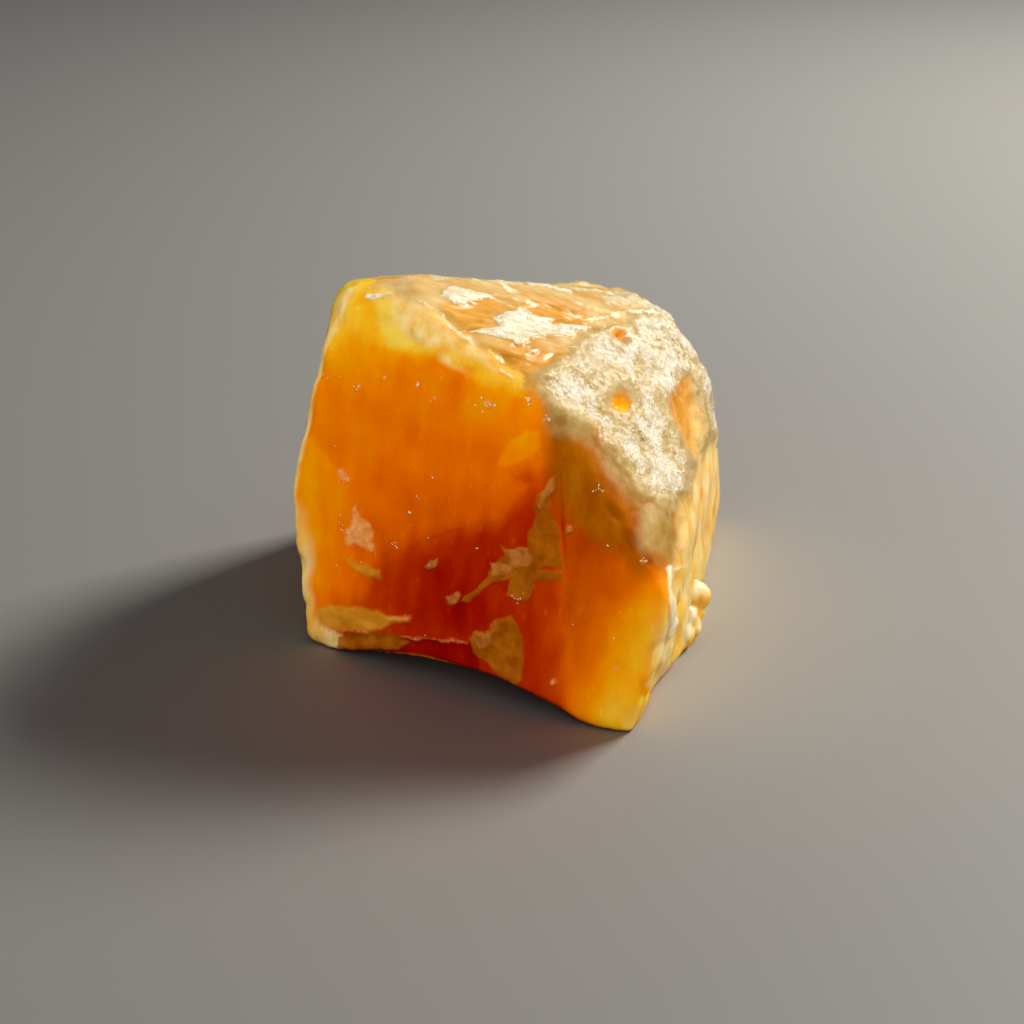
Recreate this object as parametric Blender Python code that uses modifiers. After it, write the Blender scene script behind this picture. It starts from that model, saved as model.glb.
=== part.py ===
"""Calcite specimen: one rough, palm-sized chunk of orange calcite.

The chunk is a block bounded by its natural break and cleavage faces. An arched hollow runs
under its front edge, and two small knobs stick out low on the right. It rests on its broken
underside. Everything is in metres, +Z up, with the origin on the table under the middle of
the chunk, the front on -Y and the right on +X.
"""
import math

import bmesh
import bpy
import numpy as np
from mathutils import Vector

MM = 0.001

# Driving dimensions
HEART = Vector((-1.8 * MM, -4.9 * MM, 27.0 * MM))   # the point that the faces are measured from
ROUGH_BLOCK = 160.0 * MM                            # the block that the faces are broken from
TRIM = 4.0 * MM                                     # stock left under the table, cut off last
GRAIN = 2.6 * MM                                    # spacing of the finished surface's mesh
WEATHERING = 4                                      # rounds of smoothing that wear the edges
WAVE_HEIGHT = 0.6 * MM                              # the faces' gentle waviness, crest to hollow
WAVE_LENGTHS = (13.0 * MM, 30.0 * MM)               # shortest and longest wave on a face
WAVE_COUNT = 14
WAVE_SEED = 9

# Each natural face: the side it looks to (0 is the front, 90 the right, 180 the back) and its
# lean above the horizon, in degrees, then its distance from the heart.
FACES = {
    "front_left": (-26.0, 11.0, 15.0 * MM),         # the big smooth cleavage face
    "front_right": (-15.0, 12.5, 18.0 * MM),
    "brow": (-14.0, 44.0, 24.5 * MM),               # chamfer between the front and the top
    "top": (60.0, 69.5, 26.4 * MM),                 # falls away to the right
    "shoulder": (59.0, 39.0, 24.0 * MM),            # the crusted slope above the front right
    "right": (76.0, 2.0, 29.6 * MM),
    "right_high": (80.0, 13.0, 31.3 * MM),
    "right_low": (69.0, -9.0, 32.2 * MM),           # undercut below the shoulder's ridge
    "tip": (51.0, 5.0, 35.4 * MM),                  # the front foot's small end face
    "back_corner": (121.0, 28.0, 40.5 * MM),
    "left": (-92.0, 15.0, 35.5 * MM),
    "left_low": (-48.0, -42.0, 39.5 * MM),          # undercut at the lower left
    "left_middle": (-99.0, -6.0, 36.5 * MM),
    "left_peak": (-65.0, 55.0, 41.0 * MM),
    "back": (178.0, 8.0, 34.0 * MM),
    "back_top": (180.0, 61.0, 34.4 * MM),
    "underside": (0.0, -90.0, 27.0 * MM + TRIM),
}

# The arched hollow under the front edge is a flattened ball of these half sizes.
HOLLOW_CENTRE = (-11.4 * MM, -24.2 * MM, -3.2 * MM)
HOLLOW_HALF = (24.0 * MM, 14.0 * MM, 7.0 * MM)
HOLLOW_TURN = math.radians(-25.5)                   # along the front edge
HOLLOW_SIDES = 48

# The small knobs low on the right: centre, then half sizes.
KNOBS = (
    ((30.0 * MM, -4.7 * MM, 6.4 * MM), (3.2 * MM, 3.2 * MM, 3.6 * MM)),
    ((27.6 * MM, -9.7 * MM, 3.8 * MM), (3.4 * MM, 3.0 * MM, 2.9 * MM)),
)
KNOB_SIDES = 16

CALCITE_COLOUR = (0.78, 0.27, 0.02, 1.0)
CALCITE_ROUGHNESS = 0.38


def clear_scene():
    """Remove every object that the file starts with."""
    for thing in list(bpy.data.objects):
        bpy.data.objects.remove(thing, do_unlink=True)


def collection_named(name):
    """A new collection in the scene."""
    group = bpy.data.collections.new(name)
    bpy.context.scene.collection.children.link(group)
    return group


def outward(side, lean):
    """Unit vector that looks to a side of the chunk and leans up by an angle, both in degrees."""
    turn = math.radians(side)
    rise = math.radians(lean)
    return Vector((math.sin(turn) * math.cos(rise),
                   -math.cos(turn) * math.cos(rise),
                   math.sin(rise)))


def slice_off(shape, point, normal):
    """Cut a closed mesh at a plane, throw the outer part away and close the cut."""
    everything = shape.verts[:] + shape.edges[:] + shape.faces[:]
    cut = bmesh.ops.bisect_plane(shape, geom=everything, plane_co=point, plane_no=normal,
                                 clear_outer=True)
    rim = [piece for piece in cut["geom_cut"] if isinstance(piece, bmesh.types.BMEdge)]
    bmesh.ops.edgeloop_fill(shape, edges=rim)


def object_from(shape, name, group):
    """Put a bmesh into a new object in a collection."""
    mesh = bpy.data.meshes.new(name)
    shape.to_mesh(mesh)
    shape.free()
    thing = bpy.data.objects.new(name, mesh)
    group.objects.link(thing)
    return thing


def broken_block(name, group):
    """A block with every natural face broken off it."""
    shape = bmesh.new()
    bmesh.ops.create_cube(shape, size=ROUGH_BLOCK)
    bmesh.ops.translate(shape, vec=HEART, verts=shape.verts)
    for side, lean, distance in FACES.values():
        normal = outward(side, lean)
        slice_off(shape, HEART + normal * distance, normal)
    bmesh.ops.recalc_face_normals(shape, faces=shape.faces)
    return object_from(shape, name, group)


def flattened_ball(name, group, centre, half_sizes, sides, turn=0.0):
    """A ball stretched to three half sizes, then turned about the vertical."""
    shape = bmesh.new()
    bmesh.ops.create_uvsphere(shape, u_segments=sides, v_segments=sides // 2, radius=1.0)
    bmesh.ops.scale(shape, vec=half_sizes, verts=shape.verts)
    ball = object_from(shape, name, group)
    ball.location = centre
    ball.rotation_euler = (0.0, 0.0, turn)
    ball.hide_render = True
    ball.display_type = "WIRE"
    return ball


def combine(target, tool, operation):
    """Cut a tool out of the target, or join it on."""
    step = target.modifiers.new(tool.name, "BOOLEAN")
    step.operation = operation
    step.solver = "EXACT"
    step.object = tool


def waviness(points):
    """Sum of long plane waves in seeded directions, scaled to the waviness of the faces."""
    rng = np.random.default_rng(WAVE_SEED)
    headings = rng.normal(size=(WAVE_COUNT, 3))
    headings /= np.linalg.norm(headings, axis=1, keepdims=True)
    lengths = np.linspace(*WAVE_LENGTHS, WAVE_COUNT)
    starts = rng.uniform(0.0, 2.0 * math.pi, WAVE_COUNT)
    phases = points @ (headings / lengths[:, None]).T * 2.0 * math.pi + starts
    heights = lengths / lengths.sum()
    return WAVE_HEIGHT * (np.sin(phases) * heights).sum(axis=1) / heights.max() / 4.0


def weathered(rough, name, group):
    """The block's evaluated surface, made wavy and cut flat where it rests on the table."""
    graph = bpy.context.evaluated_depsgraph_get()
    source = bpy.data.meshes.new_from_object(rough.evaluated_get(graph), depsgraph=graph)
    shape = bmesh.new()
    shape.from_mesh(source)
    bpy.data.meshes.remove(source)
    shape.normal_update()
    points = np.array([vert.co for vert in shape.verts])
    for vert, rise in zip(shape.verts, waviness(points)):
        vert.co += vert.normal * rise
    slice_off(shape, Vector((0.0, 0.0, 0.0)), Vector((0.0, 0.0, -1.0)))
    bmesh.ops.triangulate(shape, faces=shape.faces)
    bmesh.ops.recalc_face_normals(shape, faces=shape.faces)
    return object_from(shape, name, group)


def calcite_material():
    """Honey-orange calcite with a waxy break."""
    material = bpy.data.materials.new("orange_calcite")
    material.use_nodes = True
    shader = material.node_tree.nodes["Principled BSDF"]
    shader.inputs["Base Color"].default_value = CALCITE_COLOUR
    shader.inputs["Roughness"].default_value = CALCITE_ROUGHNESS
    shader.inputs["Metallic"].default_value = 0.0
    return material


clear_scene()
specimen = collection_named("calcite_specimen")
cutters = collection_named("cutters")

block = broken_block("rough_block", cutters)
block.hide_render = True
block.display_type = "WIRE"
hollow = flattened_ball("front_hollow", cutters, HOLLOW_CENTRE, HOLLOW_HALF, HOLLOW_SIDES,
                        HOLLOW_TURN)
combine(block, hollow, "DIFFERENCE")

skin = block.modifiers.new("even_skin", "REMESH")
skin.mode = "VOXEL"
skin.voxel_size = GRAIN
wear = block.modifiers.new("worn_edges", "SMOOTH")
wear.factor = 0.5
wear.iterations = WEATHERING

calcite = weathered(block, "calcite", specimen)
for number, (centre, half_sizes) in enumerate(KNOBS, start=1):
    knob = flattened_ball(f"knob_{number}", cutters, centre, half_sizes, KNOB_SIDES)
    combine(calcite, knob, "UNION")
calcite.data.materials.append(calcite_material())
calcite.data.shade_smooth()
calcite.data.set_sharp_from_angle(angle=math.radians(40.0))
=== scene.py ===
"""Looks of the calcite specimen: one rough chunk of orange calcite with a sugary pale crust."""
import math

import bpy
import numpy as np
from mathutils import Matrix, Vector


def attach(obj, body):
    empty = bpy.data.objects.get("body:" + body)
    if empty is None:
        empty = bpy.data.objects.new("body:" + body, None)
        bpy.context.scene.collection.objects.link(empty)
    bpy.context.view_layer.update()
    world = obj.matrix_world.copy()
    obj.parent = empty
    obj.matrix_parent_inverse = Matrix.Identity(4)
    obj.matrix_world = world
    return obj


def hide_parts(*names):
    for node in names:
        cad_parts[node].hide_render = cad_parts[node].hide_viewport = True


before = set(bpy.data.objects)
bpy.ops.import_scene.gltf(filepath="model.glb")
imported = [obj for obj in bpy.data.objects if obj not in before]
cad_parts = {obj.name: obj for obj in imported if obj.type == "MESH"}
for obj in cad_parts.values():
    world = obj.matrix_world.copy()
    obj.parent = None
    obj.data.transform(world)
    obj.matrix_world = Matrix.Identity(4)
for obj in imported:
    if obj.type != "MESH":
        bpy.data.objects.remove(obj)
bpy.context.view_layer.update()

# ------------------------------------------------------------
# Stone: one chunk of honey-orange calcite. It was broken from a vein along its cleavage, so the
# front is a smooth waxy break, while the shoulder and top keep the pale crust they grew with.
# ------------------------------------------------------------

MM = 0.001
HEART = np.array([-1.8, -4.9, 27.0])  # millimetres; the faces are measured from here

# Side that each natural face looks to (0 front, 90 right, 180 back), its lean above the horizon,
# in degrees, and its distance from the heart, in millimetres.
FACES = {
    "front_left": (-26.0, 11.0, 15.0),
    "front_right": (-15.0, 12.5, 18.0),
    "brow": (-14.0, 44.0, 24.5),
    "top": (60.0, 69.5, 26.4),
    "shoulder": (59.0, 39.0, 24.0),
    "right": (76.0, 2.0, 29.6),
    "right_high": (80.0, 13.0, 31.3),
    "right_low": (69.0, -9.0, 32.2),
    "tip": (51.0, 5.0, 35.4),
    "back_corner": (121.0, 28.0, 40.5),
    "left": (-92.0, 15.0, 35.5),
    "left_low": (-48.0, -42.0, 39.5),
    "left_middle": (-99.0, -6.0, 36.5),
    "left_peak": (-65.0, 55.0, 41.0),
    "back": (178.0, 8.0, 34.0),
    "back_top": (180.0, 61.0, 34.4),
    "underside": (0.0, -90.0, 27.0),
}
FACE_NAMES = list(FACES)
CRISP_EDGE = 0.45  # rounding of a fresh cleavage edge, mm
WORN_EDGE = 1.7  # rounding under the crust, mm
FACE_BLEND = 1.2  # width over which one face's finish gives way to the next, mm

# The low arch under the front edge: a flattened ball cut out of the stone, mm.
HOLLOW_CENTRE = np.array([-11.4, -24.2, -3.2])
HOLLOW_HALF = np.array([24.0, 14.0, 7.0])
HOLLOW_TURN = math.radians(-25.5)
HOLLOW_EDGE = 1.2  # rounding of its edge

GRID = 128  # cells along each side of the six patches
HALVINGS = 14  # halvings of the span that holds the surface
CRUST_PULL = 0.36  # how much finer the grid is towards the crust
CRUST_SIDE = (20.0, 38.0)  # side and lean, in degrees, of the crust
WORN_SHOULDER = (70.0, 45.0)  # and of the two places where the edges are worn
WORN_PEAK = (-101.0, 52.0)


def outward(side, lean):
    """Unit vector towards a side of the stone, raised by the lean, both in degrees."""
    turn, rise = math.radians(side), math.radians(lean)
    return np.array([math.sin(turn) * math.cos(rise), -math.cos(turn) * math.cos(rise), math.sin(rise)])


def smooth(low, high, value):
    """0 below low, 1 above high, and 3t^2 - 2t^3 between them."""
    t = np.clip((value - low) / (high - low), 0.0, 1.0)
    return t * t * (3.0 - 2.0 * t)


def unit(vectors):
    """The same vectors, each of length 1."""
    return vectors / np.linalg.norm(vectors, axis=1, keepdims=True)


CELL_KEYS = (73856093, 19349663, 83492791)  # large primes, so that every cell gets its own slope
SLOPES = unit(np.random.default_rng(40).normal(size=(4096, 3)))


def noise(points, wavelength, seed=0):
    """Gradient noise from -1 to 1: each corner of a cell has a slope, and the slopes are blended."""
    cells = points / wavelength
    corner = np.floor(cells)
    inner = cells - corner
    fade = inner ** 3 * (inner * (inner * 6.0 - 15.0) + 10.0)
    corner = corner.astype(np.int64)
    total = np.zeros(len(points))
    for offset in np.ndindex(2, 2, 2):
        at = corner + offset
        key = np.bitwise_xor.reduce(at * CELL_KEYS, axis=1) ^ (seed + 1) * 2654435
        key = (key ^ (key >> 13)) * 1274126177
        slope = SLOPES[(key ^ (key >> 16)) & (len(SLOPES) - 1)]
        weight = np.where(offset, fade, 1.0 - fade).prod(axis=1)
        total += weight * ((inner - offset) * slope).sum(axis=1)
    return 1.7 * total


def ridged(points, wavelength, octaves, seed=0):
    """Sum of folded noise, 1 minus its size, so it has sharp crests."""
    return sum(0.5 ** i * (1.0 - 2.0 * np.abs(noise(points, wavelength / 2 ** i, seed + 5 * i)))
               for i in range(octaves))


def terraces(field, tread, riser):
    """A field made into steps: level treads, joined by a steep riser over the last share of each."""
    level = field / tread
    whole = np.floor(level)
    return tread * (whole + smooth(1.0 - riser, 1.0, level - whole))


def cube_grid(cells):
    """Directions over six square patches: (s, t) on each side of a cube, spread evenly by angle."""
    side = np.arange(cells + 1)
    s, t = np.meshgrid(side, side, indexing="ij")
    corners, quads = [], []
    index = np.arange((cells + 1) ** 2).reshape(cells + 1, cells + 1)
    quad = np.stack([index[:-1, :-1], index[1:, :-1], index[1:, 1:], index[:-1, 1:]], axis=-1).reshape(-1, 4)
    for axis in range(3):
        for end in (0, cells):
            lattice = np.zeros((cells + 1, cells + 1, 3), dtype=np.int64)
            lattice[..., axis] = end
            lattice[..., (axis + 1) % 3] = s
            lattice[..., (axis + 2) % 3] = t
            quads.append((quad if end else quad[:, ::-1]) + len(corners) * index.size)
            corners.append(lattice.reshape(-1, 3))
    lattice, merged = np.unique(np.concatenate(corners), axis=0, return_inverse=True)
    directions = unit(np.tan((lattice / cells - 0.5) * math.pi / 2.0))
    return directions, merged.ravel()[np.concatenate(quads)]


NORMALS = np.array([outward(side, lean) for side, lean, _ in FACES.values()])
DISTANCES = np.array([distance for _, _, distance in FACES.values()])


def ball_depth(points, centre, half, turn=0.0):
    """About how far a point is outside a flattened ball turned about the vertical, in mm."""
    x, y, z = (points - centre).T
    along = x * math.cos(turn) + y * math.sin(turn)
    away = y * math.cos(turn) - x * math.sin(turn)
    reach = np.sqrt((along / half[0]) ** 2 + (away / half[1]) ** 2 + (z / half[2]) ** 2)
    return (reach - 1.0) * min(half)


def blend_low(a, b, width):
    """Smaller of two fields, rounded over a width where they meet."""
    mix = np.clip(0.5 + 0.5 * (b - a) / width, 0.0, 1.0)
    return b * (1.0 - mix) + a * mix - width * mix * (1.0 - mix)


def outside(points, softness):
    """Distance outside the block: the soft maximum over its faces, less the hollow."""
    reach = ((points - HEART) @ NORMALS.T - DISTANCES) / softness[:, None]
    highest = reach.max(axis=1)
    block = softness * (highest + np.log(np.exp(reach - highest[:, None]).sum(axis=1)))
    hollow = ball_depth(points, HOLLOW_CENTRE, HOLLOW_HALF, HOLLOW_TURN)
    return -blend_low(-block, hollow, HOLLOW_EDGE)


def surface(directions, softness):
    """Where each ray from the heart leaves the block, found by halving the span it lies in."""
    pace = directions @ NORMALS.T
    flat = np.where(pace > 1e-6, DISTANCES / np.maximum(pace, 1e-6), np.inf).min(axis=1)
    low, high = 0.4 * flat, 1.25 * flat
    for _ in range(HALVINGS):
        middle = 0.5 * (low + high)
        out = outside(HEART + directions * middle[:, None], softness) > 0.0
        low, high = np.where(out, low, middle), np.where(out, middle, high)
    return HEART + directions * (0.5 * (low + high))[:, None]


def corner_normals(points, quads):
    """Unit normal at each point: the sum of the normals of the quads around it."""
    a, b, c, d = (points[quads[:, i]] for i in range(4))
    flat = np.cross(c - a, d - b)
    summed = [np.bincount(quads.ravel(), np.repeat(part, 4), len(points)) for part in flat.T]
    return unit(np.stack(summed, axis=1))


def gap_to_path(u, v, path, closed=False):
    """Distance in mm from each (u, v) to the nearest straight piece of a path."""
    corner = np.array(path)
    following = np.roll(corner, -1, axis=0) if closed else corner[1:]
    nearest = np.full(len(u), np.inf)
    for (u0, v0), (u1, v1) in zip(corner, following):
        run, climb = u1 - u0, v1 - v0
        part = np.clip(((u - u0) * run + (v - v0) * climb) / (run * run + climb * climb), 0.0, 1.0)
        nearest = np.minimum(nearest, np.hypot(u - u0 - part * run, v - v0 - part * climb))
    return nearest


def inside_outline(u, v, outline):
    """Signed distance in mm to a closed outline: positive inside it, negative outside."""
    within = np.zeros(len(u), dtype=bool)
    for (u0, v0), (u1, v1) in zip(outline, outline[1:] + outline[:1]):
        crosses = (v0 > v) != (v1 > v)
        climb = v1 - v0 if v1 != v0 else 1e-9
        within ^= crosses & (u < u0 + (v - v0) / climb * (u1 - u0))
    return np.where(within, 1.0, -1.0) * gap_to_path(u, v, outline, closed=True)


def within_any(u, v, outlines):
    """Largest of the signed distances to several outlines, so it is positive inside any of them."""
    return np.max([inside_outline(u, v, outline) for outline in outlines], axis=0)


directions, quads = cube_grid(GRID)
directions = unit(directions + CRUST_PULL * outward(*CRUST_SIDE))
worn = np.maximum(smooth(0.45, 0.85, directions @ outward(*WORN_SHOULDER)),
                  smooth(0.96, 0.995, directions @ outward(*WORN_PEAK)))
stone_points = surface(directions, CRISP_EDGE + (WORN_EDGE - CRISP_EDGE) * worn)
normals = corner_normals(stone_points, quads)

# How much of each point belongs to each face, and how far it is from the nearest edge, mm.
reach = (stone_points - HEART) @ NORMALS.T - DISTANCES
share = np.exp((reach - reach.max(axis=1, keepdims=True)) / FACE_BLEND)
share /= share.sum(axis=1, keepdims=True)
edge_gap = np.diff(np.sort(reach, axis=1)[:, -2:], axis=1)[:, 0]


def on_faces(*names):
    """Share of each point that belongs to the named faces, 0 to 1."""
    return share[:, [FACE_NAMES.index(name) for name in names]].sum(axis=1)


def beyond(name):
    """Distance in mm of each point outside the plane of the named face; it is negative inside."""
    return reach[:, FACE_NAMES.index(name)]


def rough(wavelength, seed):
    """Noise at the stone's own points, from -1 to 1; the wavelength is in mm."""
    return noise(stone_points, wavelength, seed)


top_share = on_faces("top", "back_top")
back_share = on_faces("back", "back_corner")
left_share = on_faces("left", "left_middle", "left_peak")
right_share = on_faces("right", "right_high", "right_low", "tip")
under_share = on_faces("underside", "left_low")

# Front chart, mm from the heart: across to the right, and rise up a sheet that leans back from
# upright by the chart's tilt. The finishes of the front, the top and the shoulder are drawn on it.
CHART_TILT = math.radians(30.0)
x, y, z = stone_points.T
across = x - HEART[0]
rise = (y - HEART[1]) * math.sin(CHART_TILT) + (z - HEART[2]) * math.cos(CHART_TILT)
facing = normals @ np.array([0.0, -math.cos(CHART_TILT), math.sin(CHART_TILT)])
seen = smooth(-0.02, 0.2, facing)
HIDDEN_DEPTH = 6.0  # how far outside an outline the hidden sides count, mm


def charted(signed):
    """A signed distance on the front chart, faded to well outside on the sides it doesn't cover."""
    return signed * seen - HIDDEN_DEPTH * (1.0 - seen)


def drawn(chart, *outlines):
    """Signed distance in mm to outlines drawn on a chart, positive inside any of them."""
    return charted(within_any(*chart, outlines))


def round_spot(chart, at_across, at_rise, radius):
    """Signed distance in mm to a round spot on a chart."""
    return radius - np.hypot(chart[0] - at_across, chart[1] - at_rise)


def falloff(at_across, at_rise, size):
    """1 at a place on the front chart, fading away as a bell of the size, in mm."""
    return np.exp(-((across - at_across) ** 2 + (rise - at_rise) ** 2) / size ** 2)


# Outlines get their edges from reading the chart at points that small waves push about: ragged
# under the crust, finely chipped on the break, and torn from left to right on the top.
ragged = (across + 0.9 * rough(5.0, 1) + 0.45 * rough(1.8, 2),
          rise + 0.9 * rough(5.0, 3) + 0.45 * rough(1.8, 4))
chipped = (across + 0.35 * rough(1.7, 11), rise + 0.35 * rough(1.7, 12))
pulled_points = stone_points * [0.4, 1.0, 1.0]
pulled = (across + 1.3 * noise(pulled_points, 1.7, 21), rise + 0.55 * noise(pulled_points, 1.7, 22))

# Pale crust, with two orange pits and a long peach window worn through it. Below it the crust is
# bare of sugar: smooth waxy lobes that fade into the break, their darker beige painted shade.
front_crust = drawn(ragged, (
    (2.7, 16.4), (4.6, 13.4), (5.6, 11.6), (8.0, 10.4), (10.6, 9.2), (12.9, 7.4), (15.2, 4.6), (17.2, 1.8),
    (19.4, -1.2), (21.4, -3.2), (24.2, -3.6), (26.3, -2.6), (28.0, -1.6), (29.6, 1.6), (30.9, 5.6),
    (32.2, 6.2), (36.5, 9.6), (44.0, 12.0), (44.0, 30.0), (27.5, 33.0), (22.0, 30.4), (17.3, 27.6),
    (13.0, 26.3), (10.8, 24.9), (9.2, 22.2), (6.6, 19.8),
))
window = drawn(chipped, (
    (26.0, 14.7), (27.6, 16.9), (29.4, 18.7), (29.7, 16.4), (30.8, 14.2), (31.3, 10.8), (30.7, 7.4),
    (30.4, 5.8), (29.1, 6.5), (27.9, 8.1), (26.8, 10.5), (26.0, 13.0),
))
PITS = ((16.9, 13.4, 1.35), (17.4, 25.2, 0.7))  # across, rise, radius
halo = drawn(ragged, (
    (13.7, 18.2), (15.8, 18.8), (16.6, 15.6), (18.4, 14.7), (18.5, 12.4), (17.6, 10.4), (15.5, 11.6),
    (13.6, 14.0),
))
# Waxy lobes below the crust; their darker beige is painted shade.
shaded_wax = drawn(
    chipped,
    ((19.5, -2.4), (21.5, -1.6), (24.6, -2.4), (25.6, -7.2), (26.1, -9.2), (25.0, -10.3), (23.7, -11.4),
     (21.6, -10.6), (19.2, -9.2), (18.6, -6.3)),
    ((4.6, 14.2), (6.4, 13.6), (9.0, 12.0), (12.3, 10.0), (13.2, 7.6), (12.2, 6.2), (10.5, 6.6), (8.3, 7.6),
     (6.1, 8.3), (5.0, 9.6)),
    ((13.2, 7.4), (15.4, 5.6), (17.6, 2.4), (20.0, -0.8), (19.4, -3.2), (17.4, -2.0), (15.2, 1.0),
     (12.8, 4.6)),
)
peach = drawn(chipped, (
    (23.8, -1.0), (26.3, -1.0), (28.5, -0.6), (29.4, -3.0), (28.8, -6.5), (27.3, -10.2), (25.8, -9.4),
    (25.2, -5.6),
))
pits = charted(np.max([round_spot(chipped, *pit) for pit in PITS], axis=0))
openings = np.maximum(window, pits)
hidden_crust = 4.5 * rough(17.0, 61) + 1.2 * rough(4.0, 62) + 2.5 * smooth(20.0, 45.0, z) - 2.0 \
    - 5.0 * left_share * smooth(25.0, 5.0, y)
crust = seen * front_crust + (1.0 - seen) * hidden_crust
crust = np.minimum(crust, -openings)

# Where the crust is thickest it is frosted white; the spots are whiter still, painted highlights where
# the crust catches the light: across, rise, size and how much whiter.
FROST_HIGHLIGHT_SPOTS = (
    (24.8, 18.0, 3.0, 0.6), (26.5, 23.5, 2.5, 0.6), (20.5, 10.0, 2.4, 0.5), (23.8, 2.6, 2.6, 0.8),
    (14.0, 21.5, 3.0, 0.5), (22.6, 8.0, 1.6, 0.5), (9.5, 15.0, 2.5, 0.3), (17.0, 6.0, 1.8, 0.4),
)
frost = 0.1 + 0.9 * rough(4.2, 63) + 0.5 * rough(1.7, 64)
for at_across, at_rise, size, whiter in FROST_HIGHLIGHT_SPOTS:
    frost += seen * whiter * falloff(at_across, at_rise, size)
frost -= 1.2 * smooth(-1.0, 1.0, halo)
frost -= 0.9 * smooth(3.2, 0.4, crust)

# Frosted skin over the brow and the top, torn through to the orange in a few places.
SKIN = (
    (-20.0, 27.9), (-19.3, 25.4), (-18.2, 23.7), (-17.2, 22.4), (-15.8, 21.3), (-11.2, 19.8), (-7.5, 18.6),
    (-4.9, 17.5), (-2.3, 15.6), (1.1, 15.0), (4.0, 15.0), (20.0, 18.0), (34.0, 30.0), (24.0, 38.0),
    (-20.0, 38.0), (-22.5, 32.0),
)
torn = drawn(
    pulled,
    ((1.2, 28.6), (3.9, 30.0), (8.5, 30.1), (11.6, 27.4), (5.9, 26.1), (5.0, 27.5), (1.7, 28.4)),
    ((0.2, 22.3), (3.5, 22.1), (3.2, 21.2), (0.7, 21.3)),
    ((-3.6, 21.2), (0.5, 20.6), (3.4, 20.3), (7.4, 20.3), (5.0, 18.8), (1.6, 18.0), (-1.8, 18.3)),
    ((-9.6, 28.2), (-6.7, 28.5), (-4.9, 30.1), (-2.4, 28.5), (-3.7, 26.5), (-6.1, 25.3), (-7.6, 25.8)),
    ((-7.0, 24.2), (-3.0, 24.9), (-5.4, 25.6)),
)
# The brow below the torn edge is golden, and the back of the top is veiled with white.
golden = drawn(ragged, (
    (-20.0, 31.3), (-17.3, 30.6), (-14.0, 29.2), (-11.4, 28.2), (-9.8, 25.4), (-7.6, 23.5), (-5.3, 22.3),
    (-1.8, 18.5), (0.4, 16.5), (-1.8, 17.0), (-4.8, 19.1), (-9.4, 21.0), (-13.3, 21.9), (-17.2, 23.6),
    (-18.8, 26.8),
))
veil = drawn(ragged, (
    (17.5, 36.0), (20.5, 37.0), (26.0, 34.0), (30.0, 28.0), (26.4, 28.5), (24.4, 30.2), (20.9, 30.9),
    (15.4, 30.4),
))
facing_up = smooth(0.3, 0.8, normals[:, 2])
hidden_skin = 2.2 * rough(14.0, 71) + 1.2 * rough(5.0, 72) + 3.2 * facing_up \
    + 2.2 * smooth(36.0, 52.0, z) - 3.4
skin = seen * inside_outline(*ragged, SKIN) + (1.0 - seen) * hidden_skin
skin = np.maximum(skin, np.maximum(halo, peach))
on_brow = seen * smooth(-2.0, 0.5, golden)
skin -= 1.5 * on_brow
under_skin = 0.4 * skin - 0.8 * on_brow

# White flakes that lie in left-to-right strips on the top and along the back of the crust.
flake = drawn(
    pulled,
    ((-11.3, 30.2), (-9.6, 31.9), (-6.8, 31.9), (-2.4, 30.3), (-5.4, 29.9), (-7.4, 28.9), (-8.4, 28.4),
     (-9.7, 29.3)),
    ((-7.6, 23.9), (-4.6, 24.7), (-1.2, 25.0), (-3.6, 26.4), (-0.6, 27.5), (0.9, 28.9), (3.1, 28.9),
     (3.2, 27.9), (7.0, 27.1), (5.2, 26.6), (9.0, 26.2), (13.4, 26.4), (10.4, 25.2), (9.4, 24.4),
     (4.0, 24.1), (1.2, 21.9), (-0.7, 22.9), (-3.4, 23.2), (-5.9, 24.0)),
    ((1.4, 21.6), (4.6, 21.5), (3.4, 20.7), (2.4, 20.5)),
    ((17.4, 29.7), (21.9, 30.6), (26.2, 29.2), (22.0, 29.4)),
    ((21.5, 27.3), (24.2, 27.2), (27.2, 26.4), (24.0, 26.5)),
    ((26.4, 24.8), (27.6, 23.4), (28.6, 21.8), (29.4, 19.6), (28.0, 20.6), (27.2, 22.6)),
    ((24.2, 18.6), (25.8, 17.6), (27.3, 15.2), (25.4, 16.4)),
    ((2.0, 33.9), (6.0, 33.4), (9.9, 33.0), (7.0, 34.6), (3.0, 35.4)),
    ((-23.2, 31.0), (-21.6, 30.5), (-20.4, 30.8), (-18.2, 30.9), (-18.4, 30.2), (-20.4, 29.8),
     (-21.8, 29.4)),
)

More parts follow.
